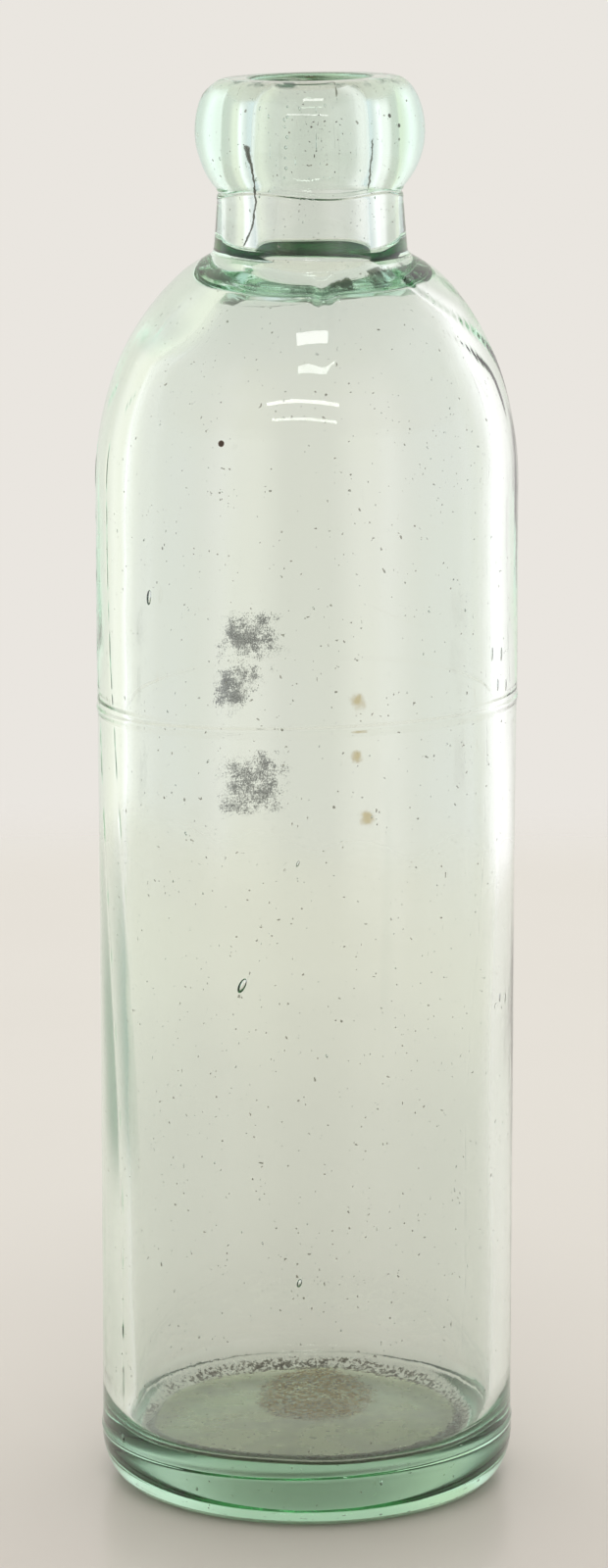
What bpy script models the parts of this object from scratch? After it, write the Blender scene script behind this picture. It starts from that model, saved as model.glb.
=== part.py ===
"""Blob top soda bottle: a blown glass body and the thick lip laid round the end of its neck.

Lengths are in metres and +Z is up. The origin is at the centre of the base, on the surface
that the bottle stands on, and the bottle's axis is the Z axis.
"""

import math

import bpy

# Body, from the base up
BASE_RADIUS = 0.0245
BASE_RING_WIDTH = 0.0040
BASE_HOLLOW_RISE = 0.0014
HEEL_RADIUS = 0.0290
HEEL_CURVE_HEIGHT = 0.0068
HEEL_HEIGHT = 0.0072
WAIST_RADIUS = 0.0288
WAIST_TOP = 0.0750
MOULD_SEAM_HEIGHT = 0.1105
MOULD_SEAM_STEP = 0.00015
SEAM_SLOPE_HEIGHT = 0.0003
BODY_RADIUS = 0.0291
SHOULDER_START = 0.1410
SHOULDER_RISE = 0.0355

# Neck, and its end that stands inside the lip
NECK_RADIUS = 0.0126
NECK_FOOT_RADIUS = 0.0131
NECK_FILLET = 0.0014
NECK_LENGTH = 0.0072
NECK_END_RADIUS = 0.0112
NECK_END_LENGTH = 0.0075

# Inside of the glass
WALL = 0.0035
SHOULDER_WALL = 0.0046
FLOOR_THICKNESS = 0.0085
FLOOR_CORNER = 0.0040
BORE_RADIUS = 0.0080
THROAT_ROUND = 0.0046

# Lip
LIP_CLEARANCE = 0.0003
LIP_RADIUS = 0.0158
LIP_HEIGHT = 0.0157
LIP_WIDEST_HEIGHT = 0.0081
LIP_SKIRT_RADIUS = 0.0127
LIP_SKIRT_HEIGHT = 0.0009
LIP_CROWN_RADIUS = 0.0113
MOUTH_ROUND = 0.0016

# The underside of the lip swings this far round before it meets the skirt
LIP_UNDERCUT_ANGLE = math.radians(47)

# Fineness of the turned shapes
TURN_STEPS = 60
DOME_SEGMENTS = 10
ROUND_SEGMENTS = 6
HALVINGS = 60
MERGE_DISTANCE = 0.00001
SHARP_ANGLE = math.radians(35)

# Glass: a pale aqua body, and a lip that is deeper in colour because it is thicker
BODY_COLOUR = (0.66, 0.79, 0.72, 1.0)
LIP_COLOUR = (0.52, 0.72, 0.62, 1.0)
GLASS_ROUGHNESS = 0.06
GLASS_TRANSMISSION = 0.85
GLASS_IOR = 1.51

QUARTER_TURN = math.pi / 2
HALF_TURN = math.pi
FULL_TURN = 2 * math.pi


def clear_scene():
    """Removes whatever the open file holds."""
    for obj in list(bpy.data.objects):
        bpy.data.objects.remove(obj, do_unlink=True)


def arc(centre, reach, start, end, segments=ROUND_SEGMENTS):
    """Points on an elliptical arc, as (radius, height) pairs.

    centre is (radius, height), reach is the half axes outward and upward, and the angles run
    from the outward direction towards the upward one.
    """
    points = []
    for index in range(segments + 1):
        angle = start + (end - start) * index / segments
        radius = centre[0] + reach[0] * math.cos(angle)
        height = centre[1] + reach[1] * math.sin(angle)
        points.append((radius, height))
    return points


def dome_normal(reach, angle):
    """The unit normal of an elliptical dome at the point that arc() gives for this angle."""
    outward = reach[1] * math.cos(angle)
    upward = reach[0] * math.sin(angle)
    length = math.hypot(outward, upward)
    return outward / length, upward / length


def fillet_on_dome(reach, line_radius, fillet):
    """Where a fillet touches both a dome on the axis and a tube that rises from the dome.

    Returns the dome's angle at the point of contact. The distance from the axis to the
    fillet's centre falls steadily as that angle grows, so halving the range finds it.
    """
    wanted = line_radius + fillet
    low = 0.0
    high = QUARTER_TURN
    for _ in range(HALVINGS):
        middle = (low + high) / 2
        outward, _ = dome_normal(reach, middle)
        centre_radius = reach[0] * math.cos(middle) + fillet * outward
        if centre_radius > wanted:
            low = middle
        else:
            high = middle
    return middle


def dome_to_tube(base_height, reach, line_radius, fillet):
    """A dome that rises from base_height and turns through a fillet into an upright tube."""
    contact = fillet_on_dome(reach, line_radius, fillet)
    dome = arc((0.0, base_height), reach, 0.0, contact, DOME_SEGMENTS)
    outward, upward = dome_normal(reach, contact)
    centre = (dome[-1][0] + fillet * outward, dome[-1][1] + fillet * upward)
    start = HALF_TURN + math.atan2(upward, outward)
    return dome + arc(centre, (fillet, fillet), start, HALF_TURN)[1:]


def neck_seat_height():
    """The height of the ledge on the neck that the lip sits on."""
    share_of_radius = NECK_FOOT_RADIUS / BODY_RADIUS
    dome_height = SHOULDER_RISE * math.sqrt(1 - share_of_radius ** 2)
    return SHOULDER_START + dome_height + NECK_LENGTH


def inside_of_body():
    """From the middle of the floor, up the wall, under the shoulder and up the bore."""
    wall_foot = WAIST_RADIUS - WALL
    corner_centre = (wall_foot - FLOOR_CORNER, FLOOR_THICKNESS + FLOOR_CORNER)
    corner_reach = (FLOOR_CORNER, FLOOR_CORNER)
    points = [(0.0, FLOOR_THICKNESS)]
    points += arc(corner_centre, corner_reach, -QUARTER_TURN, 0.0)
    reach = (BODY_RADIUS - WALL, SHOULDER_RISE - SHOULDER_WALL)
    points += dome_to_tube(SHOULDER_START, reach, BORE_RADIUS, THROAT_ROUND)
    return points


def end_of_neck():
    """Over the rim inside the lip, down its side and out along the ledge."""
    seat = neck_seat_height()
    rim = seat + NECK_END_LENGTH
    return [
        (BORE_RADIUS, rim),
        (NECK_END_RADIUS, rim),
        (NECK_END_RADIUS, seat),
        (NECK_RADIUS, seat),
    ]


def outside_of_body():
    """From the neck, down the shoulder and the side to the top of the heel."""
    reach = (BODY_RADIUS, SHOULDER_RISE)
    shoulder = dome_to_tube(SHOULDER_START, reach, NECK_FOOT_RADIUS, NECK_FILLET)
    seam_foot = MOULD_SEAM_HEIGHT - SEAM_SLOPE_HEIGHT
    heel_step_top = HEEL_HEIGHT + SEAM_SLOPE_HEIGHT
    points = list(reversed(shoulder))
    points += [
        (BODY_RADIUS, MOULD_SEAM_HEIGHT),
        (BODY_RADIUS - MOULD_SEAM_STEP, seam_foot),
        (WAIST_RADIUS, WAIST_TOP),
        (WAIST_RADIUS, heel_step_top),
        (HEEL_RADIUS, HEEL_HEIGHT),
    ]
    return points


def heel_and_base():
    """Round the heel, across the ring that the bottle rests on, and over the hollow base."""
    heel_centre = (BASE_RADIUS, HEEL_CURVE_HEIGHT)
    heel_reach = (HEEL_RADIUS - BASE_RADIUS, HEEL_CURVE_HEIGHT)
    points = arc(heel_centre, heel_reach, 0.0, -QUARTER_TURN)
    hollow_radius = BASE_RADIUS - BASE_RING_WIDTH
    sphere_radius = (hollow_radius ** 2 + BASE_HOLLOW_RISE ** 2) / (2 * BASE_HOLLOW_RISE)
    sphere_centre = (0.0, BASE_HOLLOW_RISE - sphere_radius)
    start = math.acos(hollow_radius / sphere_radius)
    hollow = arc(sphere_centre, (sphere_radius, sphere_radius), start, QUARTER_TURN)
    hollow[-1] = (0.0, BASE_HOLLOW_RISE)
    return points + hollow


def lip_profile():
    """The ring of the lip in section, with its lower edge at zero height.

    It runs down the outer side, in under the skirt, up the socket that the neck's end fills,
    and up the bore to the flat crown.
    """
    crown = arc(
        (LIP_CROWN_RADIUS, LIP_WIDEST_HEIGHT),
        (LIP_RADIUS - LIP_CROWN_RADIUS, LIP_HEIGHT - LIP_WIDEST_HEIGHT),
        QUARTER_TURN,
        0.0,
    )
    under_width = (LIP_RADIUS - LIP_SKIRT_RADIUS) / (1 - math.cos(LIP_UNDERCUT_ANGLE))
    under_depth = (LIP_WIDEST_HEIGHT - LIP_SKIRT_HEIGHT) / math.sin(LIP_UNDERCUT_ANGLE)
    under = arc(
        (LIP_RADIUS - under_width, LIP_WIDEST_HEIGHT),
        (under_width, under_depth),
        0.0,
        -LIP_UNDERCUT_ANGLE,
    )
    socket_radius = NECK_END_RADIUS + LIP_CLEARANCE
    socket_top = NECK_END_LENGTH
    mouth = arc(
        (BORE_RADIUS + MOUTH_ROUND, LIP_HEIGHT - MOUTH_ROUND),
        (MOUTH_ROUND, MOUTH_ROUND),
        HALF_TURN,
        QUARTER_TURN,
    )
    socket = [
        (LIP_SKIRT_RADIUS, 0.0),
        (socket_radius, 0.0),
        (socket_radius, socket_top),
        (BORE_RADIUS, socket_top),
    ]
    return crown + under[1:] + socket + mouth


def turned_mesh(name, profile, closed):
    """Turns a profile about the Z axis and returns the finished mesh."""
    count = len(profile)
    points = [(radius, 0.0, height) for radius, height in profile]
    edges = [(index, index + 1) for index in range(count - 1)]
    if closed:
        edges.append((count - 1, 0))
    outline = bpy.data.meshes.new(name + "_outline")
    outline.from_pydata(points, edges, [])
    blank = bpy.data.objects.new(name + "_blank", outline)
    bpy.context.scene.collection.objects.link(blank)
    screw = blank.modifiers.new("turn", "SCREW")
    screw.axis = "Z"
    screw.angle = FULL_TURN
    screw.steps = TURN_STEPS
    screw.render_steps = TURN_STEPS
    screw.use_merge_vertices = True
    screw.merge_threshold = MERGE_DISTANCE
    screw.use_smooth_shade = True
    bpy.context.view_layer.update()
    evaluated = blank.evaluated_get(bpy.context.evaluated_depsgraph_get())
    mesh = bpy.data.meshes.new_from_object(evaluated)
    mesh.name = name
    bpy.data.objects.remove(blank, do_unlink=True)
    bpy.data.meshes.remove(outline)
    mesh.shade_smooth()
    mesh.set_sharp_from_angle(angle=SHARP_ANGLE)
    return mesh


def glass(name, colour):
    """Clear glass of the given tint."""
    material = bpy.data.materials.new(name)
    material.use_nodes = True
    shader = material.node_tree.nodes["Principled BSDF"]
    shader.inputs["Base Color"].default_value = colour
    shader.inputs["Metallic"].default_value = 0.0
    shader.inputs["Roughness"].default_value = GLASS_ROUGHNESS
    shader.inputs["Transmission Weight"].default_value = GLASS_TRANSMISSION
    shader.inputs["IOR"].default_value = GLASS_IOR
    return material


def add_piece(name, mesh, material, collection, parent, height):
    """Puts a turned mesh on the bottle's axis at the given height."""
    mesh.materials.clear()
    mesh.materials.append(material)
    piece = bpy.data.objects.new(name, mesh)
    collection.objects.link(piece)
    piece.parent = parent
    piece.location = (0.0, 0.0, height)
    return piece


def build_body(collection, axis):
    """The blown body, from the floor to the end of the neck, open at the top."""
    profile = inside_of_body() + end_of_neck() + outside_of_body() + heel_and_base()
    mesh = turned_mesh("bottle_body", profile, closed=False)
    material = glass("pale_aqua_glass", BODY_COLOUR)
    add_piece("bottle_body", mesh, material, collection, axis, 0.0)


def build_lip(collection, axis):
    """The lip, which sits on the neck's ledge with its socket round the neck's end."""
    mesh = turned_mesh("blob_lip", lip_profile(), closed=True)
    material = glass("thick_aqua_glass", LIP_COLOUR)
    height = neck_seat_height() + LIP_CLEARANCE
    add_piece("blob_lip", mesh, material, collection, axis, height)


def build_bottle():
    """The whole bottle, in its own collection and on one axis."""
    clear_scene()
    collection = bpy.data.collections.new("blob_top_soda_bottle")
    bpy.context.scene.collection.children.link(collection)
    axis = bpy.data.objects.new("bottle_axis", None)
    collection.objects.link(axis)
    build_body(collection, axis)
    build_lip(collection, axis)


build_bottle()
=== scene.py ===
"""Visual model of the blob top soda bottle: mould-blown aqua glass with bubbles, seams and wear.

The whole bottle is one closed body of glass, because the lip and the body are fused in the
real one. Lengths are in metres, +Z is up and the camera looks along +Y.
"""

import math

import bmesh
import bpy
import numpy as np
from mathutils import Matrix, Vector


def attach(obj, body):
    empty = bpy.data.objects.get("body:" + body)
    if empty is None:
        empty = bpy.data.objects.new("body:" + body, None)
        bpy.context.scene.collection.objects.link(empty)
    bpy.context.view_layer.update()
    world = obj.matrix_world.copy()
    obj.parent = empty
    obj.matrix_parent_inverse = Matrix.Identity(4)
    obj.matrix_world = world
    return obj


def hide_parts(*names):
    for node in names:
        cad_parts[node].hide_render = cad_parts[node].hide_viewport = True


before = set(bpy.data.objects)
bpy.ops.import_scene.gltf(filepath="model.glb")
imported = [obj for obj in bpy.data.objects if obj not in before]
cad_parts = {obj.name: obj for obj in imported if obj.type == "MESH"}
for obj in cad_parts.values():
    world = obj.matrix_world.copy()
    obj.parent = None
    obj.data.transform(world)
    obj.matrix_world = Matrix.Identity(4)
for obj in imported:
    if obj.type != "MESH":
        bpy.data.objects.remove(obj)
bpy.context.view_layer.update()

# Outside of the glass
BASE_RADIUS = 0.0245
BASE_RING_WIDTH = 0.0040
BASE_HOLLOW_RISE = 0.0014
HEEL_RADIUS = 0.0288
HEEL_CURVE_HEIGHT = 0.0068
WAIST_RADIUS = 0.0287
WAIST_TOP = 0.0750
MOULD_SEAM_HEIGHT = 0.1105
BODY_RADIUS = 0.02888
SHOULDER_START = 0.1410
SHOULDER_RISE = 0.0355
NECK_RADIUS = 0.0126
NECK_FOOT_RADIUS = 0.0131
NECK_FILLET = 0.0014

# Lip
LIP_FOOT_HEIGHT = 0.1800
LIP_RADIUS = 0.0156
LIP_HEIGHT = 0.01565
LIP_WIDEST_HEIGHT = 0.0081
LIP_SKIRT_RADIUS = 0.0127
LIP_SKIRT_HEIGHT = 0.0009
LIP_CROWN_RADIUS = 0.0113
LIP_UNDERCUT_ANGLE = math.radians(47)
MOUTH_ROUND = 0.0009

# Inside of the glass
WALL = 0.0035
SHOULDER_WALL = 0.0053
FLOOR_THICKNESS = 0.0085
FLOOR_CORNER = 0.0035
FRONT_CORNER = 0.0020
BACK_CORNER = 0.0050
CORNER_REACH = 0.0120
BORE_RADIUS = 0.0080
LEDGE_RADIUS = 0.0136
LEDGE_WIDTH = 0.0022
LEDGE_SLOPE = math.radians(-18)
THROAT_ROUND = 0.0035

# Fineness of the mesh
ROW_STEP = 0.0010
SEAM_ROW_STEP = 0.00016
ARC_STEP = math.radians(7)
COLUMNS = 168

QUARTER_TURN = math.pi / 2
HALF_TURN = math.pi
FULL_TURN = 2 * math.pi
WALL_FOOT = WAIST_RADIUS - WALL

# Parts of the circle with finer columns, in degrees: start, end and step
FINE_COLUMNS = (
    (-175.3, -145.7, 0.42),
    (4.7, 28.3, 0.42),
    (-50.0, 4.0, 1.0),
)
CLOSEST_COLUMNS = math.radians(0.25)

# Upright mould seam: its place left of the front, and how far the hot glass twisted it
SEAM_DEGREES = 62.5
BODY_TWIST_DEGREES = 22
BODY_TWIST_HEIGHTS = (0.040, 0.140)
NECK_TWIST_DEGREES = 28
NECK_TWIST_HEIGHTS = (0.145, 0.168)

# Heights between which a feature fades in, and between which it fades out again
OUTER_WAVES_FADE = ((0.0, 0.012), (0.1940, 0.1952))
NECK_DROP_FADE = ((0.1695, 0.1725), (0.1745, 0.1790))
BORE_WAVES_FADE = ((0.166, 0.172), (0.1925, 0.1945))
LEDGE_FADE = ((0.157, 0.164), (0.168, 0.172))
SQUEEZE_FADE = ((0.181, 0.185), (0.1925, 0.1952))
NECK_DROP = 0.0005

# What gives the glass its look: how it bends light, and the colour that its depth lets through
GLASS_IOR = 1.51
GLASS_COLOUR = (0.0, 0.66, 0.222, 1.0)
GLASS_DENSITY = 13.5

# Camera
SENSOR_WIDTH_MM = 36.0
LENS_MM = 126.74
CAMERA_PLACE = (-0.0004, -0.7488, 0.2427)
CAMERA_TILT_DEGREES = 10.897

# Light passes many surfaces of glass before it leaves the bottle
GLASS_BOUNCES = 32


def smooth(low, high, value):
    """0 below low, 1 above high, and an even S between them."""
    share = np.clip((value - low) / (high - low), 0.0, 1.0)
    return share * share * (3 - 2 * share)


def between(fade, height):
    """1 between the two ends of a fade, and 0 below and above it."""
    rising, falling = fade
    return smooth(*rising, height) * (1 - smooth(*falling, height))


def ridge(distance, width):
    """A smooth ridge, 1 on its line and almost 0 two widths away."""
    return np.exp(-(distance / width) ** 2)


def waves(points, size, seed, stretch=1.0):
    """Even, random-looking waves about size long, and stretch times longer up the bottle."""
    chance = np.random.default_rng(seed)
    scaled = points / np.array((1.0, 1.0, stretch))
    count = 8
    total = np.zeros(points.shape[:-1])
    for _ in range(count):
        direction = chance.normal(size=3)
        direction /= np.linalg.norm(direction) * size * chance.uniform(0.8, 1.7)
        total += np.sin(FULL_TURN * (scaled @ direction) + chance.uniform(0, FULL_TURN))
    return total / math.sqrt(count / 2)


def arc(centre, reach, start, end):
    """Points on an elliptical arc as (radius, height), close enough together to look round."""
    longest = max(reach) * abs(end - start)
    count = max(2, math.ceil(longest / ROW_STEP), math.ceil(abs(end - start) / ARC_STEP))
    points = []
    for index in range(count + 1):
        angle = start + (end - start) * index / count
        radius = centre[0] + reach[0] * math.cos(angle)
        height = centre[1] + reach[1] * math.sin(angle)
        points.append((radius, height))
    return points


def straight(start, end, step=ROW_STEP):
    """Points from just after start up to end, evenly spaced."""
    count = max(1, math.ceil(math.dist(start, end) / step))
    points = []
    for index in range(1, count + 1):
        share = index / count
        radius = start[0] + (end[0] - start[0]) * share
        height = start[1] + (end[1] - start[1]) * share
        points.append((radius, height))
    return points


def dome_normal(reach, angle):
    """The unit normal of an elliptical dome at the given angle of its arc."""
    outward = reach[1] * math.cos(angle)
    upward = reach[0] * math.sin(angle)
    length = math.hypot(outward, upward)
    return outward / length, upward / length


def dome_to_tube(base_height, reach, tube_radius, fillet):
    """A dome that turns through a fillet into an upright tube."""
    low = 0.0
    high = QUARTER_TURN
    for _ in range(60):
        contact = (low + high) / 2
        outward, upward = dome_normal(reach, contact)
        if reach[0] * math.cos(contact) + fillet * outward > tube_radius + fillet:
            low = contact
        else:
            high = contact
    dome = arc((0.0, base_height), reach, 0.0, contact)
    centre = (dome[-1][0] + fillet * outward, dome[-1][1] + fillet * upward)
    start = HALF_TURN + math.atan2(upward, outward)
    return dome + arc(centre, (fillet, fillet), start, HALF_TURN)[1:]


def inner_profile():
    """From the floor's middle up to the bore at the mouth."""
    corner_centre = (WALL_FOOT - FLOOR_CORNER, FLOOR_THICKNESS + FLOOR_CORNER)
    corner = arc(corner_centre, (FLOOR_CORNER, FLOOR_CORNER), -QUARTER_TURN, 0.0)
    points = [(0.0, FLOOR_THICKNESS)]
    points += straight(points[-1], corner[0]) + corner[1:]
    reach = (BODY_RADIUS - WALL, SHOULDER_RISE - SHOULDER_WALL)
    dome = arc((0.0, SHOULDER_START), reach, 0.0, math.acos(LEDGE_RADIUS / reach[0]))
    ledge_rise = LEDGE_WIDTH * math.tan(LEDGE_SLOPE)
    ledge = (LEDGE_RADIUS - LEDGE_WIDTH, dome[-1][1] + ledge_rise)
    points += straight(points[-1], dome[0]) + dome[1:]
    points += straight(dome[-1], ledge, ROW_STEP / 3)
    throat_reach = (ledge[0] - BORE_RADIUS, THROAT_ROUND)
    throat_centre = (ledge[0], ledge[1] + THROAT_ROUND)
    points += arc(throat_centre, throat_reach, -QUARTER_TURN, -HALF_TURN)[1:]
    lip_top = LIP_FOOT_HEIGHT + LIP_HEIGHT
    mouth_centre = (BORE_RADIUS + MOUTH_ROUND, lip_top - MOUTH_ROUND)
    mouth = arc(mouth_centre, (MOUTH_ROUND, MOUTH_ROUND), HALF_TURN, QUARTER_TURN)
    points += straight(points[-1], mouth[0]) + mouth[1:]
    return points


def outer_profile():
    """From the crown of the lip down to the middle of the base."""
    widest = LIP_FOOT_HEIGHT + LIP_WIDEST_HEIGHT
    crown_reach = (LIP_RADIUS - LIP_CROWN_RADIUS, LIP_HEIGHT - LIP_WIDEST_HEIGHT)
    crown = arc((LIP_CROWN_RADIUS, widest), crown_reach, QUARTER_TURN, 0.0)
    under_width = (LIP_RADIUS - LIP_SKIRT_RADIUS) / (1 - math.cos(LIP_UNDERCUT_ANGLE))
    under_depth = (LIP_WIDEST_HEIGHT - LIP_SKIRT_HEIGHT) / math.sin(LIP_UNDERCUT_ANGLE)
    under_centre = (LIP_RADIUS - under_width, widest)
    under = arc(under_centre, (under_width, under_depth), 0.0, -LIP_UNDERCUT_ANGLE)
    points = crown + under[1:]
    shoulder_reach = (BODY_RADIUS, SHOULDER_RISE)
    shoulder = dome_to_tube(SHOULDER_START, shoulder_reach, NECK_FOOT_RADIUS, NECK_FILLET)
    shoulder.reverse()
    neck_top = (NECK_RADIUS, LIP_FOOT_HEIGHT - LIP_SKIRT_HEIGHT)
    points += straight(points[-1], neck_top, SEAM_ROW_STEP)
    points += straight(neck_top, shoulder[0], ROW_STEP / 2) + shoulder[1:]
    seam_above = (BODY_RADIUS, MOULD_SEAM_HEIGHT + 0.003)
    seam_below = (BODY_RADIUS - 0.0001, MOULD_SEAM_HEIGHT - 0.002)
    heel_above = (WAIST_RADIUS, HEEL_CURVE_HEIGHT + 0.003)
    heel_below = (HEEL_RADIUS, HEEL_CURVE_HEIGHT)
    points += straight(points[-1], seam_above)
    points += straight(seam_above, seam_below, SEAM_ROW_STEP)
    points += straight(seam_below, (WAIST_RADIUS, WAIST_TOP))
    points += straight(points[-1], heel_above)
    points += straight(heel_above, heel_below, SEAM_ROW_STEP)
    heel_reach = (HEEL_RADIUS - BASE_RADIUS, HEEL_CURVE_HEIGHT)
    heel = arc((BASE_RADIUS, HEEL_CURVE_HEIGHT), heel_reach, 0.0, -QUARTER_TURN)
    points += heel[1:]
    hollow_radius = BASE_RADIUS - BASE_RING_WIDTH
    points += straight(points[-1], (hollow_radius, 0.0))
    sphere = (hollow_radius ** 2 + BASE_HOLLOW_RISE ** 2) / (2 * BASE_HOLLOW_RISE)
    start = math.acos(hollow_radius / sphere)
    hollow = arc((0.0, BASE_HOLLOW_RISE - sphere), (sphere, sphere), start, QUARTER_TURN)
    return points + hollow[1:-1] + [(0.0, BASE_HOLLOW_RISE)]


def seam_angle(height):
    """Where the upright mould seam runs on the left: the hot glass twisted a little."""
    body_twist = BODY_TWIST_DEGREES * smooth(*BODY_TWIST_HEIGHTS, height)
    neck_twist = NECK_TWIST_DEGREES * smooth(*NECK_TWIST_HEIGHTS, height)
    return -QUARTER_TURN - np.radians(SEAM_DEGREES + (body_twist - neck_twist))


def around_gap(angle, other):
    """The angle between two directions, from minus to plus half a turn."""
    return (angle - other + HALF_TURN) % FULL_TURN - HALF_TURN


def on_circle(angle, radius, height):
    """Points in space from angle, radius and height."""
    return np.stack((np.cos(angle) * radius, np.sin(angle) * radius, height), axis=-1)


def seam_rise(angle, radius, height):
    """How far the mould seams stand out of the surface."""
    side = np.cos(angle) * radius
    at_side = np.cos(angle) ** 4
    level = MOULD_SEAM_HEIGHT + 0.030 * side + 0.0007 * np.sin(angle) ** 2
    rise = (0.00008 + 0.00006 * at_side) * ridge(height - level, 0.00055)
    heel_level = HEEL_CURVE_HEIGHT + 0.0012 + 0.022 * side
    rise += 0.00013 * ridge(height - heel_level, 0.00040)
    along = on_circle(0 * angle, 0 * radius, height)
    dots = np.clip(0.2 + 0.9 * waves(along, 0.0016, 31), 0, 1)
    upright = smooth(0.007, 0.009, height)
    for turn, end in ((0.0, 0.163), (HALF_TURN, 0.140)):
        gap = around_gap(angle, seam_angle(height) + turn) * radius
        above = 1 - smooth(end, end + 0.008, height)
        rise += 0.00008 * dots * upright * above * ridge(gap, 0.00020)
    return rise


def step_on_shoulder(angle, height):
    """On the right shoulder the back half of the mould stood a little proud of the front half."""
    edge = -math.radians(2) - math.radians(45) * smooth(0.155, 0.172, height)
    gap = around_gap(angle, edge)
    fades_out = 1 - smooth(math.radians(55), math.radians(110), gap)
    proud = 0.00024 * (smooth(0.0, math.radians(2.0), gap) * fades_out)
    return proud * smooth(0.148, 0.160, height) * (1 - smooth(0.167, 0.1725, height))


def outer_points(angle, radius, height):
    """The outer surface: the turned shape with its waves, seams and tooled lip."""
    points = on_circle(angle, radius, height)
    hold = between(OUTER_WAVES_FADE, height)
    shift = 0.000018 * waves(points, 0.030, 1) + 0.000006 * waves(points, 0.009, 2)
    shift = shift * hold + seam_rise(angle, radius, height) + step_on_shoulder(angle, height)
    front = np.clip(-np.sin(angle), 0, 1)
    level = LIP_FOOT_HEIGHT + 0.0003 + 0.00028 * waves(points * (1, 1, 0), 0.013, 3)
    near_edge = ridge(height - LIP_FOOT_HEIGHT, 0.0035)
    lowered = between(NECK_DROP_FADE, height)
    raised = height + 0.0007 * front ** 2 * near_edge - NECK_DROP * lowered
    groove = 0.00012 + 0.00022 * smooth(-0.6, 0.2, -np.sin(angle))
    shift -= groove * ridge(height - level, 0.00030)
    return lean(on_circle(angle, radius + shift, raised))


def inner_points(angle, radius, height):
    """The inner surface: the glass is thicker in some places than in others."""
    back = smooth(-0.9, 0.3, np.sin(angle))
    corner = FRONT_CORNER + (BACK_CORNER - FRONT_CORNER) * back
    low = FLOOR_THICKNESS + FLOOR_CORNER
    flat_end = WALL_FOOT - FLOOR_CORNER
    on_floor = height <= FLOOR_THICKNESS + 1e-9
    in_corner = (height < low) & ~on_floor
    grow = corner / FLOOR_CORNER
    flat = radius * (WALL_FOOT - corner) / flat_end
    turned = WALL_FOOT - (WALL_FOOT - radius) * grow
    new_radius = np.where(on_floor, flat, np.where(in_corner, turned, radius))
    rise = (height - low) * (CORNER_REACH - corner) / (CORNER_REACH - FLOOR_CORNER)
    low_wall = (height >= low) & (height < FLOOR_THICKNESS + CORNER_REACH)
    new_height = np.where(in_corner, FLOOR_THICKNESS + (height - FLOOR_THICKNESS) * grow, height)
    new_height = np.where(low_wall, FLOOR_THICKNESS + corner + rise, new_height)
    points = on_circle(angle, new_radius, new_height)

    over_floor = new_height - FLOOR_THICKNESS
    uneven = 0.00009 * waves(points, 0.014, 11) * (1 - smooth(0.0, 0.004, over_floor))
    body = smooth(0.0, 0.006, over_floor) * (1 - smooth(0.150, 0.172, height))
    long_waves = 0.00011 * waves(points, 0.045, 12, 1.6)
    short_waves = 0.00003 * waves(points, 0.016, 13, 1.8)
    shift = (long_waves + short_waves) * body
    bore = between(BORE_WAVES_FADE, height)
    long_waves = 0.00006 * waves(points, 0.012, 14, 1.6)
    short_waves = 0.00003 * waves(points, 0.006, 15, 2.0)
    shift += (long_waves + short_waves) * bore
    points = on_circle(angle, new_radius + shift, new_height + uneven)
    points[..., 0] += 0.0003 * body

    ledge = between(LEDGE_FADE, height)
    fold = around_gap(angle, -QUARTER_TURN + math.radians(5)) * new_radius
    lumps = 0.00007 * waves(points, 0.010, 16) - 0.0006 * ridge(fold, 0.0011)
    points[..., 0] += 0.0006 * ledge
    points[..., 2] += ledge * (0.026 * points[..., 0] + lumps * (new_radius > 0.009))
    return lean(points)


def lean(points):
    """The lip sits slightly crooked and aside, and its left side is squeezed a little upward."""
    x, y, height = points[..., 0], points[..., 1], points[..., 2]
    crooked = smooth(0.172, 0.184, height)
    squeezed = between(SQUEEZE_FADE, height)
    left = np.clip(-x / LIP_RADIUS, 0.0, 1.0)
    lift = 0.018 * x * crooked + 0.0006 * left * squeezed
    aside = 0.0005 * smooth(0.158, 0.174, height) - 0.0001 * crooked
    return np.stack((x + aside, y, height + lift), axis=-1)


def column_angles():
    """Even steps round the bottle, with finer ones where the upright seams and the step run."""
    angles = [FULL_TURN * index / COLUMNS for index in range(COLUMNS)]
    for low, high, step in FINE_COLUMNS:
        count = math.ceil((high - low) / step)
        for index in range(count + 1):
            angles.append(math.radians(low + (high - low) * index / count))
    angles = sorted(angle % FULL_TURN for angle in angles)
    kept = [angles[0]]
    for angle in angles[1:]:
        if angle - kept[-1] > CLOSEST_COLUMNS:
            kept.append(angle)
    return np.array(kept)


def skin():
    """The inner and outer surface as one closed skin, from the floor to the base."""
    angles = column_angles()
    inside = np.array(inner_profile()[1:])
    outside = np.array(outer_profile()[:-1])
    grids = []
    for rows, maker in ((inside, inner_points), (outside, outer_points)):
        angle, radius = np.meshgrid(angles, rows[:, 0])
        height = np.repeat(rows[:, 1:2], len(angles), axis=1)
        grids.append(maker(angle, radius, height))
    grid = np.concatenate(grids)
    rows, columns = grid.shape[:2]
    floor_middle = grid[0].mean(axis=0)
    base_middle = np.array((0.0, 0.0, BASE_HOLLOW_RISE))
    points = np.concatenate((grid.reshape(-1, 3), (floor_middle, base_middle)))
    faces = []
    after = np.roll(np.arange(columns), -1)
    for row in range(rows - 1):
        lower = row * columns
        upper = lower + columns
        for index in range(columns):
            faces.append((lower + index, upper + index, upper + after[index], lower + after[index]))
    last = (rows - 1) * columns
    for index in range(columns):
        faces.append((rows * columns, index, after[index]))
        faces.append((rows * columns + 1, last + after[index], last + index))
    return points, faces


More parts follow.
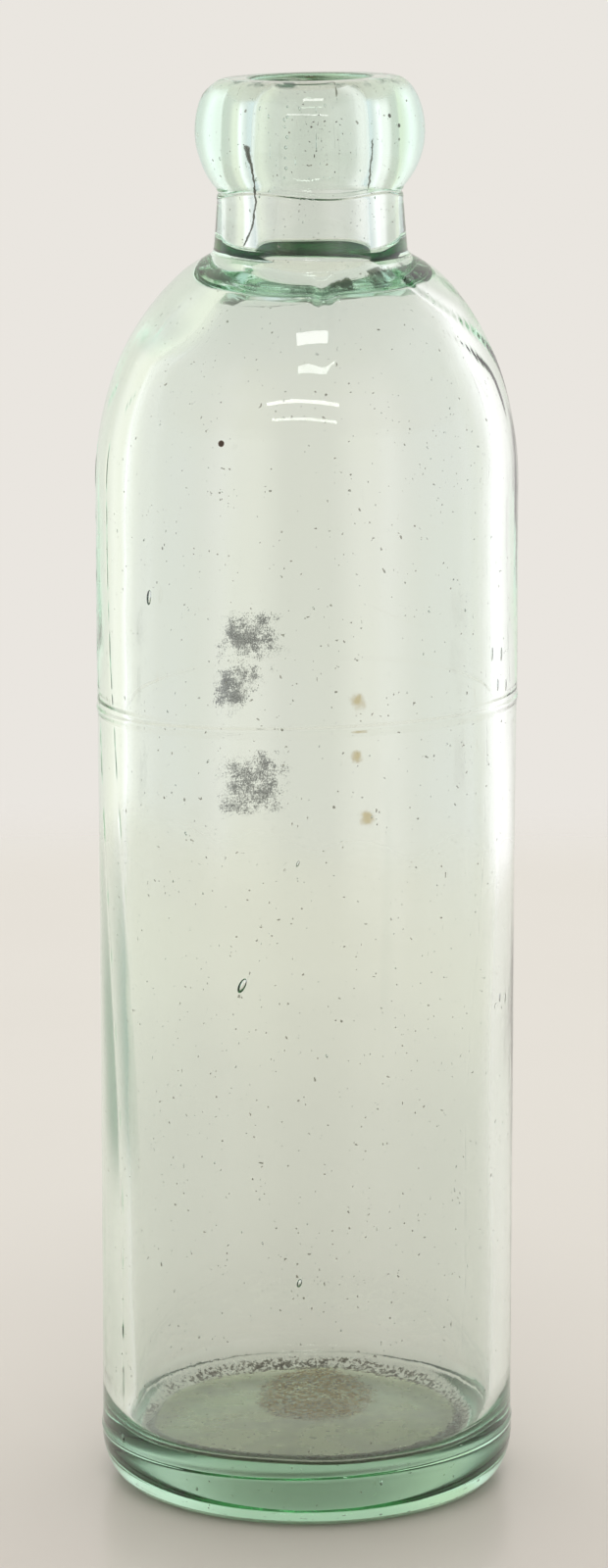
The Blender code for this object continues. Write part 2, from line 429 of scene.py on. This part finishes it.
def ball(fineness):
    """Corners and faces of a ball one metre in radius, its faces turned inward."""
    mesh = bmesh.new()
    bmesh.ops.create_icosphere(mesh, subdivisions=fineness, radius=1.0)
    points = np.array([vert.co[:] for vert in mesh.verts])
    faces = [tuple(vert.index for vert in reversed(face.verts)) for face in mesh.faces]
    mesh.free()
    return points, faces


def wall_middle(height):
    """The radius of the middle of the wall, and half its thickness, at a height."""
    if height < SHOULDER_START:
        share = smooth(WAIST_TOP, MOULD_SEAM_HEIGHT, height)
        outer = WAIST_RADIUS + (BODY_RADIUS - WAIST_RADIUS) * share
        return outer - WALL / 2, WALL / 2
    outer_rise = (height - SHOULDER_START) / SHOULDER_RISE
    inner_rise = (height - SHOULDER_START) / (SHOULDER_RISE - SHOULDER_WALL)
    outer = BODY_RADIUS * math.sqrt(max(1 - outer_rise ** 2, 0.0))
    inner = (BODY_RADIUS - WALL) * math.sqrt(max(1 - inner_rise ** 2, 0.0))
    return (outer + inner) / 2, (outer - inner) / 2


def bubble_list():
    """Place, size, stretch, lean and fineness of every bubble in the glass."""
    chance = np.random.default_rng(7)
    bubbles = []

    def strew(count, heights, depth_of, sizes, stretches, lean_most):
        for _ in range(count):
            height = chance.uniform(*heights)
            depth = depth_of(height)
            angle = chance.uniform(0, FULL_TURN)
            place = (math.cos(angle) * depth, math.sin(angle) * depth, height)
            size = sizes[0] + (sizes[1] - sizes[0]) * chance.random() ** 3
            tilt = chance.uniform(-lean_most, lean_most)
            bubbles.append((place, size, chance.uniform(*stretches), tilt, 1))

    def in_wall(height):
        middle, half = wall_middle(height)
        return middle + (half - 0.0008) * chance.uniform(-1, 1)

    def in_lip(height):
        return chance.uniform(0.0094, 0.0112)

    def in_base(height):
        return 0.023 * math.sqrt(chance.random())

    # How many, between which heights, how far out, how large, how long and how slanted
    strew(230, (0.014, 0.162), in_wall, (0.00005, 0.00018), (1.0, 1.8), 0.5)
    strew(110, (0.1745, 0.1935), in_lip, (0.00006, 0.00018), (1.0, 2.2), 0.3)
    strew(60, (0.0030, 0.0066), in_base, (0.00008, 0.00024), (0.8, 1.2), 0.0)

    # Large blisters in the front wall: sideways place, height, size, stretch and slant
    blisters = (
        (-0.0205, 0.1275, 0.00040, 2.6, 0.10),
        (-0.0085, 0.0760, 0.00055, 1.9, 0.35),
        (-0.0010, 0.0350, 0.00035, 1.7, 0.20),
        (0.0252, 0.1185, 0.00026, 3.6, 0.05),
        (0.0258, 0.1140, 0.00022, 3.8, 0.04),
        (-0.0012, 0.0930, 0.00020, 2.0, 0.30),
        (0.0260, 0.0700, 0.00024, 2.6, 0.10),
    )

    # An upright row of small bubbles in the front of the lip
    for step in range(8):
        place = (-0.0026 + chance.uniform(-0.0003, 0.0003), -0.0112, 0.1836 + 0.0012 * step)
        bubbles.append((place, chance.uniform(0.00013, 0.00022), 1.2, 0.0, 1))
    for side, height, size, stretch, tilt in blisters:
        middle, _ = wall_middle(height)
        place = (side, -math.sqrt(middle ** 2 - side ** 2), height)
        bubbles.append((place, size, stretch, tilt, 3))
    return bubbles


def build_glass():
    """The bottle's glass as one object: its skin, and closed hollows for the bubbles."""
    skin_points, faces = skin()
    points = [skin_points]
    first = len(skin_points)
    balls = {1: ball(1), 3: ball(3)}
    for place, size, stretch, tilt, fineness in bubble_list():
        ball_points, ball_faces = balls[fineness]
        grown = ball_points * (size, size, size * stretch)
        turn = math.atan2(place[1], place[0]) + QUARTER_TURN
        sideways = np.array((math.cos(turn), math.sin(turn), 0.0))
        grown = grown + np.outer(grown[:, 2] * math.tan(tilt), sideways)
        points.append(grown + np.array(place))
        faces += [tuple(first + corner for corner in face) for face in ball_faces]
        first += len(ball_points)
    data = bpy.data.meshes.new("bottle_glass")
    data.from_pydata(np.concatenate(points).tolist(), [], faces)
    data.shade_smooth()
    glass = bpy.data.objects.new("bottle_glass", data)
    bpy.context.scene.collection.objects.link(glass)
    data.materials.append(glass_material())
    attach(glass, "root")
    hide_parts("bottle_body", "blob_lip")


class Nodes:
    """A short way to write a material's nodes."""

    def __init__(self, tree):
        self.tree = tree
        self.tree.nodes.clear()

    def add(self, kind, **settings):
        node = self.tree.nodes.new(kind)
        for name, value in settings.items():
            setattr(node, name, value)
        return node

    def link(self, output, socket):
        self.tree.links.new(output, socket)

    def put(self, node, name, value):
        """Sets a socket to a number or colour, or joins it to another node's output."""
        if isinstance(value, bpy.types.NodeSocket):
            self.link(value, node.inputs[name])
        else:
            node.inputs[name].default_value = value

    def math(self, operation, first, second=0.0, clamp=False):
        node = self.add("ShaderNodeMath", operation=operation, use_clamp=clamp)
        self.put(node, 0, first)
        self.put(node, 1, second)
        return node.outputs[0]

    def times(self, *values):
        """All the values multiplied together."""
        total = values[0]
        for value in values[1:]:
            total = self.math("MULTIPLY", total, value)
        return total

    def ramp(self, value, low, high, start=0.0, end=1.0):
        """An even S from start to end as value goes from low to high."""
        node = self.add("ShaderNodeMapRange", interpolation_type="SMOOTHSTEP")
        self.put(node, "Value", value)
        self.put(node, "From Min", low)
        self.put(node, "From Max", high)
        self.put(node, "To Min", start)
        self.put(node, "To Max", end)
        return node.outputs["Result"]

    def band(self, value, low, high, soft):
        """1 between low and high, falling to 0 within soft outside them."""
        rise = self.ramp(value, low - soft, low + soft)
        fall = self.ramp(value, high - soft, high + soft, 1.0, 0.0)
        return self.math("MULTIPLY", rise, fall)

    def noise(self, vector, scale, detail=3.0, stretch=(1.0, 1.0, 1.0), roughness=0.5):
        """Noise with scale cells to a metre, drawn out by stretch."""
        mapping = self.add("ShaderNodeMapping")
        self.put(mapping, "Vector", vector)
        self.put(mapping, "Scale", stretch)
        node = self.add("ShaderNodeTexNoise")
        self.put(node, "Vector", mapping.outputs["Vector"])
        self.put(node, "Scale", scale)
        self.put(node, "Detail", detail)
        self.put(node, "Roughness", roughness)
        return node.outputs["Fac"]

    def mix_colour(self, share, first, second):
        node = self.add("ShaderNodeMix", data_type="RGBA")
        self.put(node, "Factor", share)
        self.put(node, 6, first)
        self.put(node, 7, second)
        return node.outputs[2]

    def near(self, vector, place, inner, outer):
        """1 within inner of a place, falling to 0 at outer."""
        node = self.add("ShaderNodeVectorMath", operation="DISTANCE")
        self.put(node, 0, vector)
        self.put(node, 1, place)
        return self.ramp(node.outputs["Value"], inner, outer, 1.0, 0.0)


def on_outside(nodes, radius):
    """1 on the outer surface of the body, 0 on the inner one."""
    return nodes.ramp(radius, 0.0275, 0.0280)


def on_inside(nodes, radius):
    """1 on the inner surface of the body, 0 on the outer one."""
    return nodes.ramp(radius, 0.0262, 0.0266, 1.0, 0.0)


def dirt_on_floor(nodes, place, z, radius):
    """On the inside of the floor: a pale film, dried brown sediment, loose grains, a rough ring."""
    level = nodes.band(z, 0.0079, 0.0105, 0.0004)
    inside = nodes.ramp(radius, 0.0240, 0.0250, 1.0, 0.0)
    on_floor = nodes.times(level, inside)
    flat = nodes.ramp(radius, 0.0210, 0.0222, 1.0, 0.0)
    cloudy = nodes.ramp(nodes.noise(place, 150.0, 4.0), 0.30, 0.70, 0.7, 1.0)
    film = nodes.times(on_floor, flat, cloudy)
    squeezed = nodes.add("ShaderNodeMapping")
    nodes.put(squeezed, "Vector", place)
    nodes.put(squeezed, "Scale", (1.10, 0.72, 1.0))
    patch = nodes.near(squeezed.outputs["Vector"], (0.0010, 0.0062, 0.0086), 0.003, 0.0140)
    uneven = nodes.times(nodes.noise(place, 260.0, 4.0), 0.5)
    patch = nodes.ramp(nodes.math("SUBTRACT", patch, uneven), -0.05, 0.45)
    dried = nodes.ramp(nodes.noise(place, 1500.0, 5.0, roughness=0.75), 0.40, 0.58)
    stain = nodes.times(on_floor, patch, dried)
    grains = nodes.ramp(nodes.noise(place, 2100.0, 3.0), 0.56, 0.66)
    stray = nodes.ramp(nodes.noise(place, 1300.0, 2.0), 0.69, 0.74)
    grain = nodes.times(on_floor, nodes.math("MAXIMUM", nodes.times(patch, grains), stray))
    low = nodes.band(z, 0.0079, 0.0125, 0.0006)
    some = nodes.ramp(nodes.noise(place, 60.0, 2.0), 0.38, 0.56)
    crust = nodes.ramp(nodes.noise(place, 1500.0, 5.0, roughness=0.7), 0.47, 0.60)
    ring = nodes.times(low, nodes.band(radius, 0.0212, 0.0232, 0.0006), some, crust)
    return film, stain, nodes.math("MAXIMUM", grain, ring)


def scuff_on_back(nodes, place, apart, radius):
    """Three worn, broken patches on the outside of the back wall, with clear glass between them."""
    x, y, z = apart
    at_back = nodes.times(on_outside(nodes, radius), nodes.ramp(y, 0.015, 0.020))
    ragged = nodes.math("SUBTRACT", nodes.noise(place, 420.0, 5.0, roughness=0.65), 0.5)
    edge = nodes.math("ADD", x, nodes.times(ragged, 0.008))
    level = nodes.math("ADD", z, nodes.times(ragged, 0.0060))
    upper = nodes.times(
        nodes.band(level, 0.1119, 0.1180, 0.0024),
        nodes.ramp(edge, -0.0160, -0.0110),
        nodes.ramp(edge, -0.0080, 0.0000, 1.0, 0.0),
    )
    slant = nodes.times(nodes.math("SUBTRACT", 0.1111, z), 0.45)
    slanted = nodes.math("ADD", edge, slant)
    middle = nodes.times(
        nodes.band(level, 0.1042, 0.1108, 0.0018),
        nodes.ramp(edge, -0.0164, -0.0118),
        nodes.ramp(slanted, -0.0090, -0.0035, 1.0, 0.0),
    )
    lower = nodes.times(
        nodes.band(level, 0.0894, 0.0980, 0.0028),
        nodes.ramp(edge, -0.0162, -0.0108),
        nodes.ramp(edge, -0.0070, -0.0010, 1.0, 0.0),
        0.9,
    )
    dense = nodes.math("MAXIMUM", upper, nodes.math("MAXIMUM", middle, lower))
    specks = nodes.noise(place, 4600.0, 4.0, (1.0, 1.0, 0.8), 0.75)
    scratches = nodes.noise(place, 3800.0, 3.0, (0.06, 0.06, 1.0))
    clumps = nodes.noise(place, 520.0, 3.0)
    pattern = nodes.math("ADD", nodes.times(specks, 0.6), nodes.times(scratches, 0.12))
    pattern = nodes.math("ADD", pattern, nodes.times(clumps, 0.28))
    marks = nodes.ramp(nodes.math("ADD", pattern, nodes.times(dense, 0.18)), 0.57, 0.74)
    gaps = nodes.noise(place, 340.0, 4.0, roughness=0.65)
    worn_off = nodes.ramp(gaps, 0.36, 0.55, 0.25, 1.0)
    return nodes.times(at_back, nodes.ramp(dense, 0.05, 0.60), marks, worn_off)


def dark_line(nodes, across, middle, width):
    """A thin line, 1 where across is on its middle."""
    distance = nodes.math("ABSOLUTE", nodes.math("SUBTRACT", across, middle))
    return nodes.ramp(distance, 0.0, width, 1.0, 0.0)


def marks_on_lip(nodes, place, apart, radius):
    """Two dark lines of folds down the lip's front, painted dark green shade on the front of its
    crown, and small dark specks.
    """
    x, y, z = apart
    in_front = nodes.times(
        nodes.ramp(radius, 0.0115, 0.0120),
        nodes.ramp(y, -0.005, -0.003, 1.0, 0.0),
    )
    wander = nodes.times(nodes.math("SUBTRACT", nodes.noise(place, 900.0, 3.0), 0.5), 0.0007)
    across = nodes.math("ADD", x, wander)
    from_bend = nodes.math("SUBTRACT", z, 0.1795)
    bend = nodes.ramp(z, 0.178, 0.181, 46.0, 19.0)
    middle = nodes.math("SUBTRACT", -0.0069, nodes.times(bend, from_bend, from_bend))
    left = dark_line(nodes, across, middle, nodes.ramp(z, 0.1835, 0.1866, 0.00020, 0.00050))
    left = nodes.times(left, nodes.band(z, 0.1738, 0.1873, 0.0003))
    slope = nodes.times(nodes.math("SUBTRACT", z, 0.1813), 0.075)
    right = dark_line(nodes, across, nodes.math("ADD", slope, 0.0082), 0.00020)
    right = nodes.times(right, nodes.band(z, 0.1815, 0.1882, 0.0004), 0.6)
    folds = nodes.times(in_front, nodes.math("MAXIMUM", left, right))
    # Painted shade: dark green patches on the front of the crown
    crown = nodes.times(nodes.ramp(z, 0.1946, 0.1954), nodes.ramp(y, -0.006, -0.003, 1.0, 0.0))
    patches = nodes.ramp(nodes.noise(place, 330.0, 5.0, roughness=0.6), 0.44, 0.66)
    crown = nodes.times(crown, patches, 0.7)
    cloud = nodes.near(place, (0.0018, -0.0154, 0.1885), 0.0015, 0.0060)
    specks = nodes.math("ADD", nodes.noise(place, 2300.0, 2.0), nodes.times(cloud, 0.055))
    specks = nodes.times(nodes.ramp(specks, 0.715, 0.75), nodes.ramp(z, 0.170, 0.174), in_front)
    for spot in (
        (0.0122, -0.0099, 0.1898),
        (0.0121, -0.0099, 0.1880),
        (0.0110, -0.0110, 0.1912),
    ):
        specks = nodes.math("MAXIMUM", specks, nodes.near(place, spot, 0.00015, 0.00035))
    return nodes.math("MAXIMUM", folds, specks), crown


def dirt_on_ledge(nodes, place, apart, radius):
    """Dark dirt that lies on the ledge inside the shoulder, mostly at the front."""
    level = nodes.band(apart[2], 0.1645, 0.1690, 0.0005)
    band = nodes.band(radius, 0.0098, 0.0118, 0.0004)
    front = nodes.ramp(apart[1], -0.002, 0.006, 1.0, 0.25)
    patches = nodes.ramp(nodes.noise(place, 240.0, 5.0, roughness=0.65), 0.44, 0.58)
    return nodes.times(level, band, front, patches)


def small_stains(nodes, place):
    """Yellow spots on the back wall."""
    wobble = nodes.add("ShaderNodeVectorMath", operation="ADD")
    ripple = nodes.add("ShaderNodeTexNoise")
    nodes.put(ripple, "Vector", place)
    nodes.put(ripple, "Scale", 900.0)
    shift = nodes.add("ShaderNodeVectorMath", operation="SCALE")
    nodes.put(shift, 0, ripple.outputs["Color"])
    shift.inputs["Scale"].default_value = 0.0012
    nodes.put(wobble, 0, place)
    nodes.put(wobble, 1, shift.outputs["Vector"])
    around = wobble.outputs["Vector"]
    total = None
    for spot, size in (
        ((0.0082, 0.0282, 0.1060), 0.0017),
        ((0.0082, 0.0282, 0.0985), 0.0014),
        ((0.0098, 0.0277, 0.0896), 0.0015),
    ):
        here = nodes.near(around, spot, size * 0.2, size)
        total = here if total is None else nodes.math("MAXIMUM", total, here)
    return total


def seam_shade_streak(nodes, apart, radius):
    """Painted shade: a dark teal streak in the glass's colour beside the mould seam on the left,
    which darkens the body's left edge.
    """
    x, y, z = apart
    turn = nodes.math("ARCTAN2", y, x)
    twist = nodes.ramp(z, *BODY_TWIST_HEIGHTS, 0.0, math.radians(BODY_TWIST_DEGREES))
    seam = nodes.math("SUBTRACT", -QUARTER_TURN - math.radians(SEAM_DEGREES), twist)
    gap = nodes.times(nodes.math("SUBTRACT", seam, turn), BODY_RADIUS)
    side = nodes.times(
        nodes.ramp(gap, 0.0, 0.0012),
        nodes.ramp(gap, 0.0015, 0.0105, 1.0, 0.0),
    )
    tall = nodes.times(
        nodes.ramp(z, 0.0360, 0.0560),
        nodes.ramp(z, 0.062, 0.108, 1.0, 0.0),
    )
    return nodes.times(side, tall, on_outside(nodes, radius))


def glass_relief(nodes, place, apart, radius):
    """Ripples of the chilled surface, fine cords drawn up the bottle, and a rough floor edge."""
    z = apart[2]
    ripples = nodes.noise(place, 95.0, 2.0, (1.0, 1.0, 0.6))
    cords = nodes.noise(place, 240.0, 2.0, (1.0, 1.0, 0.12))
    height = nodes.math("ADD", nodes.times(ripples, 0.7), nodes.times(cords, 0.3))
    bump = nodes.add("ShaderNodeBump")
    nodes.put(bump, "Strength", 0.30)
    nodes.put(bump, "Distance", 0.00016)
    nodes.put(bump, "Height", height)
    ring = nodes.times(
        nodes.band(radius, 0.0205, 0.0244, 0.0008),
        nodes.band(z, 0.0080, 0.0125, 0.0008),
    )
    rough = nodes.add("ShaderNodeBump")
    nodes.put(rough, "Strength", nodes.math("MULTIPLY", ring, 0.8))
    nodes.put(rough, "Distance", 0.00022)
    nodes.put(rough, "Height", nodes.noise(place, 900.0, 4.0))
    nodes.link(bump.outputs["Normal"], rough.inputs["Normal"])
    return rough.outputs["Normal"]


def glass_material():
    """Clear aqua glass: its colour is in the depth; its scuffs, dirt and some painted shade are on
    the surface.
    """
    material = bpy.data.materials.new("aqua_glass")
    material.use_nodes = True
    nodes = Nodes(material.node_tree)
    place = nodes.add("ShaderNodeTexCoord").outputs["Object"]
    split = nodes.add("ShaderNodeSeparateXYZ")
    nodes.put(split, "Vector", place)
    apart = tuple(split.outputs)
    x, y, z = apart
    radius = nodes.math("SQRT", nodes.math("ADD", nodes.times(x, x), nodes.times(y, y)))

    floor_film, stain, grain = dirt_on_floor(nodes, place, z, radius)
    spots = small_stains(nodes, place)
    lip_marks, crown_shade = marks_on_lip(nodes, place, apart, radius)
    scuff = scuff_on_back(nodes, place, apart, radius)
    under = nodes.times(
        nodes.ramp(z, 0.0016, 0.0024, 1.0, 0.0),
        nodes.ramp(radius, 0.0238, 0.0250, 1.0, 0.0),
    )
    # Painted shade with some wear: a dark olive layer under the base, strongest on the standing
    # ring, darkens what is seen through the base
    base_wear_and_shade = nodes.times(
        under,
        nodes.ramp(radius, 0.0198, 0.0208, 0.15, 1.0),
        nodes.ramp(nodes.noise(place, 300.0, 4.0), 0.35, 0.65, 0.35, 0.60),
    )
    speck = nodes.near(place, (-0.01135, -0.0258, 0.1492), 0.0003, 0.0005)
    # A grey tint inside the lower wall and in the bore, which dims what is seen through them
    low_wall = nodes.times(nodes.ramp(z, 0.045, 0.105, 1.0, 0.0), on_inside(nodes, radius))
    bore = nodes.times(
        nodes.ramp(z, 0.168, 0.176),
        nodes.ramp(radius, 0.0088, 0.0092, 1.0, 0.0),
    )
    grey_tint_inside = nodes.math("ADD", low_wall, nodes.times(bore, 0.6))
    inner_side = nodes.times(nodes.band(z, 0.060, 0.155, 0.015), on_inside(nodes, radius))
    streaky = nodes.ramp(nodes.noise(place, 45.0, 3.0), 0.30, 0.60, 0.4, 1.0)
    residue = nodes.times(inner_side, streaky)
    dust = nodes.times(
        nodes.ramp(nodes.noise(place, 1900.0, 0.0), 0.805, 0.84),
        nodes.ramp(nodes.noise(place, 420.0, 1.0), 0.50, 0.62),
    )

    # Each layer: where it is, its colour, how far it covers, and how soon its colour shows
    layers = (
        # Painted shade: the dark teal streak beside the left mould seam
        (seam_shade_streak(nodes, apart, radius), (0.19, 0.32, 0.25, 1.0), 0.0, 1.0),
        (grey_tint_inside, (0.87, 0.88, 0.855, 1.0), 0.0, 1.0),
        (residue, (0.99, 1.0, 0.955, 1.0), 0.0, 1.0),
        (floor_film, (0.96, 1.0, 0.68, 1.0), 0.60, 1.0),
        (stain, (0.40, 0.26, 0.06, 1.0), 0.85, 0.6),
        (spots, (0.55, 0.38, 0.14, 1.0), 0.12, 1.0),
        (grain, (0.13, 0.11, 0.08, 1.0), 0.85, 0.3),
        (dirt_on_ledge(nodes, place, apart, radius), (0.07, 0.08, 0.05, 1.0), 0.80, 0.3),
        # Painted shade: dark green on the front of the crown
        (crown_shade, (0.10, 0.17, 0.13, 1.0), 0.40, 0.5),
        (dust, (0.30, 0.29, 0.24, 1.0), 0.48, 0.6),
        (scuff, (0.12, 0.12, 0.13, 1.0), 0.65, 0.50),
        # Painted shade with some wear: the dark layer under the base
        (base_wear_and_shade, (0.22, 0.25, 0.15, 1.0), 1.0, 0.05),
        (lip_marks, (0.10, 0.10, 0.08, 1.0), 0.80, 0.4),
        (speck, (0.05, 0.025, 0.01, 1.0), 1.0, 0.3),
    )
    colour = (1.0, 1.0, 1.0, 1.0)
    grime = 0.0
    for mask, paint, cover, full in layers:
        colour = nodes.mix_colour(nodes.ramp(mask, 0.0, full), colour, paint)
        if cover:
            grime = nodes.math("MAXIMUM", grime, nodes.times(mask, cover))
    clear = nodes.math("SUBTRACT", 1.0, grime, clamp=True)
    haze = nodes.ramp(nodes.noise(place, 60.0, 4.0), 0.35, 0.75, 0.0, 0.02)
    roughness = nodes.math("ADD", haze, nodes.times(grime, 0.5))
    roughness = nodes.math("MAXIMUM", roughness, nodes.times(under, 0.35))
    roughness = nodes.math("MAXIMUM", roughness, nodes.times(spots, 0.18))

    shader = nodes.add("ShaderNodeBsdfPrincipled")
    nodes.put(shader, "Base Color", colour)
    nodes.put(shader, "Roughness", roughness)
    nodes.put(shader, "Transmission Weight", clear)
    nodes.put(shader, "IOR", GLASS_IOR)
    nodes.put(shader, "Normal", glass_relief(nodes, place, apart, radius))
    absorb = nodes.add("ShaderNodeVolumeAbsorption")
    nodes.put(absorb, "Color", GLASS_COLOUR)
    nodes.put(absorb, "Density", GLASS_DENSITY)
    output = nodes.add("ShaderNodeOutputMaterial")
    nodes.link(shader.outputs["BSDF"], output.inputs["Surface"])
    nodes.link(absorb.outputs["Volume"], output.inputs["Volume"])
    return material


def add_camera():
    """The photograph's view: a long lens, a little above the bottle and tilted down."""
    data = bpy.data.cameras.new("camera")
    data.sensor_fit = "AUTO"
    data.sensor_width = SENSOR_WIDTH_MM
    data.lens = LENS_MM
    camera = bpy.data.objects.new("camera", data)
    camera.location = CAMERA_PLACE
    camera.rotation_euler = (math.radians(90 - CAMERA_TILT_DEGREES), 0.0, 0.0)
    bpy.context.scene.collection.objects.link(camera)
    bpy.context.scene.camera = camera


def add_lamp(name, location, target, size, power):
    """A flat soft lamp that faces its target. The camera never sees it straight."""
    data = bpy.data.lights.new(name, "AREA")
    data.shape = "RECTANGLE"
    data.size = size[0]
    data.size_y = size[1]
    data.energy = power
    lamp = bpy.data.objects.new(name, data)
    lamp.location = location
    towards = Vector(target) - Vector(location)
    lamp.rotation_euler = towards.to_track_quat("-Z", "Y").to_euler()
    lamp.visible_camera = False
    bpy.context.scene.collection.objects.link(lamp)
    return lamp


def around_glass(nodes):
    """What the glass shows: the wall, a soft bright box at each corner, and a dimmer ceiling."""
    apart = nodes.add("ShaderNodeSeparateXYZ")
    nodes.put(apart, "Vector", nodes.add("ShaderNodeTexCoord").outputs["Generated"])
    x, y, z = apart.outputs
    room = (0.50, 0.49, 0.46, 1.0)
    back_wall = (0.785, 0.757, 0.712, 1.0)
    side_wall = (0.86, 0.90, 0.96, 1.0)
    left_box = (1.01, 0.98, 0.87, 1.0)
    right_box = (1.18, 1.11, 1.12, 1.0)
    box_far_side = (1.32, 1.28, 1.34, 1.0)
    ceiling = (0.28, 0.33, 0.28, 1.0)
    wall = nodes.mix_colour(nodes.ramp(y, -0.3, 0.3), room, back_wall)
    across = nodes.math("ABSOLUTE", x)
    along = nodes.math("ABSOLUTE", y)
    turn = nodes.math("ARCTAN2", across, along)
    beside = nodes.ramp(turn, math.radians(50), math.radians(78))
    wall = nodes.mix_colour(beside, wall, side_wall)
    box = nodes.times(
        nodes.ramp(turn, math.radians(11), math.radians(34)),
        nodes.ramp(turn, math.radians(48), math.radians(70), 1.0, 0.0),
        nodes.ramp(z, -0.45, -0.28),
        nodes.ramp(z, 0.55, 0.85, 1.0, 0.0),
    )
    bright = nodes.mix_colour(nodes.ramp(x, -0.2, 0.2), left_box, right_box)
    cool = nodes.ramp(turn, math.radians(40), math.radians(52))
    bright = nodes.mix_colour(cool, bright, box_far_side)
    colour = nodes.mix_colour(box, wall, bright)
    high = nodes.ramp(z, math.sin(math.radians(34)), math.sin(math.radians(64)))
    return nodes.mix_colour(high, colour, ceiling)


def add_world():
    """The pale surround, as the camera and the glass see it, and the even light on the rest."""
    world = bpy.data.worlds.new("surround")
    bpy.context.scene.world = world
    world.use_nodes = True
    nodes = Nodes(world.node_tree)
    rays = nodes.add("ShaderNodeLightPath").outputs
    through = nodes.math("MAXIMUM", rays["Is Glossy Ray"], rays["Is Transmission Ray"])
    seen = nodes.math("MAXIMUM", rays["Is Camera Ray"], through)
    plain = (0.822, 0.791, 0.745, 1.0)
    colour = nodes.mix_colour(rays["Is Camera Ray"], around_glass(nodes), plain)
    wall = nodes.add("ShaderNodeBackground")
    nodes.put(wall, "Color", colour)
    nodes.put(wall, "Strength", 1.0)
    light = nodes.add("ShaderNodeBackground")
    nodes.put(light, "Color", (0.95, 0.97, 1.0, 1.0))
    nodes.put(light, "Strength", 0.76)
    mix = nodes.add("ShaderNodeMixShader")
    nodes.link(seen, mix.inputs["Fac"])
    nodes.link(light.outputs["Background"], mix.inputs[1])
    nodes.link(wall.outputs["Background"], mix.inputs[2])
    output = nodes.add("ShaderNodeOutputWorld")
    nodes.link(mix.outputs["Shader"], output.inputs["Surface"])


def stage_material(name, roughness):
    """The start of a material for the stage: its nodes, its place and its surface shader."""
    material = bpy.data.materials.new(name)
    material.use_nodes = True
    nodes = Nodes(material.node_tree)
    place = nodes.add("ShaderNodeTexCoord").outputs["Object"]
    surface = nodes.add("ShaderNodeBsdfPrincipled")
    nodes.put(surface, "Roughness", roughness)
    return material, nodes, place, surface


def fade_out(nodes, surface, share):
    """Lets a stage surface fade to nothing where share nears 1."""
    nothing = nodes.add("ShaderNodeBsdfTransparent")
    mix = nodes.add("ShaderNodeMixShader")
    nodes.link(share, mix.inputs["Fac"])
    nodes.link(surface.outputs["BSDF"], mix.inputs[1])
    nodes.link(nothing.outputs["BSDF"], mix.inputs[2])
    output = nodes.add("ShaderNodeOutputMaterial")
    nodes.link(mix.outputs["Shader"], output.inputs["Surface"])


def floor_material():
    """A pale warm table top with a soft gloss and painted shade towards the camera, which fades out
    at its far edge.
    """
    material, nodes, place, surface = stage_material("pale_table", 0.22)
    distance = nodes.add("ShaderNodeVectorMath", operation="LENGTH")
    nodes.put(distance, 0, place)
    apart = nodes.add("ShaderNodeSeparateXYZ")
    nodes.put(apart, "Vector", place)
    # Painted shade: the table's colour grows darker and warmer from far behind the bottle towards
    # the camera
    shaded_front_colour = (0.74, 0.665, 0.575, 1.0)
    far_away = (0.845, 0.79, 0.70, 1.0)
    camera_side_shade = (0.50, 0.45, 0.38, 1.0)
    cloud_colour = (0.60, 0.52, 0.42, 1.0)
    away = nodes.ramp(apart.outputs["Y"], -0.15, 0.22)
    colour = nodes.mix_colour(away, shaded_front_colour, far_away)
    close = nodes.ramp(apart.outputs["Y"], -0.42, -0.10, 1.0, 0.0)
    colour = nodes.mix_colour(close, colour, camera_side_shade)
    clouds = nodes.noise(place, 14.0, 4.0)
    colour = nodes.mix_colour(nodes.times(clouds, 0.12), colour, cloud_colour)
    nodes.put(surface, "Base Color", colour)
    nodes.put(surface, "IOR", 1.4)
    fade_out(nodes, surface, nodes.ramp(distance.outputs["Value"], 0.40, 0.50))
    return material


def add_floor():
    """The round table top that the bottle stands on."""
    mesh = bmesh.new()
    bmesh.ops.create_circle(mesh, cap_ends=True, segments=96, radius=0.52)
    data = bpy.data.meshes.new("table_top")
    mesh.to_mesh(data)
    mesh.free()
    data.materials.append(floor_material())
    floor = bpy.data.objects.new("table_top", data)
    floor.location = (0.0, 0.0, -0.00005)
    bpy.context.scene.collection.objects.link(floor)


def add_lamps():
    """Soft studio light from high in front of the bottle, and a wide lamp behind for the shadow."""
    high_up = (0.05, -0.65, 1.20)
    further_out = (-0.05, -1.10, 0.79)
    behind = (0.0, 0.55, 1.00)
    add_lamp("front_lamp", high_up, (0.0, 0.0, 0.16), (0.34, 0.13), 1.1)
    add_lamp("front_strip", further_out, (0.0, 0.0, 0.155), (0.90, 0.034), 0.8)
    back = add_lamp("back_lamp", behind, (0.0, 0.0, 0.0), (1.20, 0.80), 2.8)
    back.visible_glossy = False
    back.visible_transmission = False


bpy.context.scene.view_settings.view_transform = "Standard"
bpy.context.scene.cycles.max_bounces = GLASS_BOUNCES
bpy.context.scene.cycles.transmission_bounces = GLASS_BOUNCES
bpy.context.scene.cycles.glossy_bounces = GLASS_BOUNCES
build_glass()
add_floor()
add_world()
add_lamps()
add_camera()
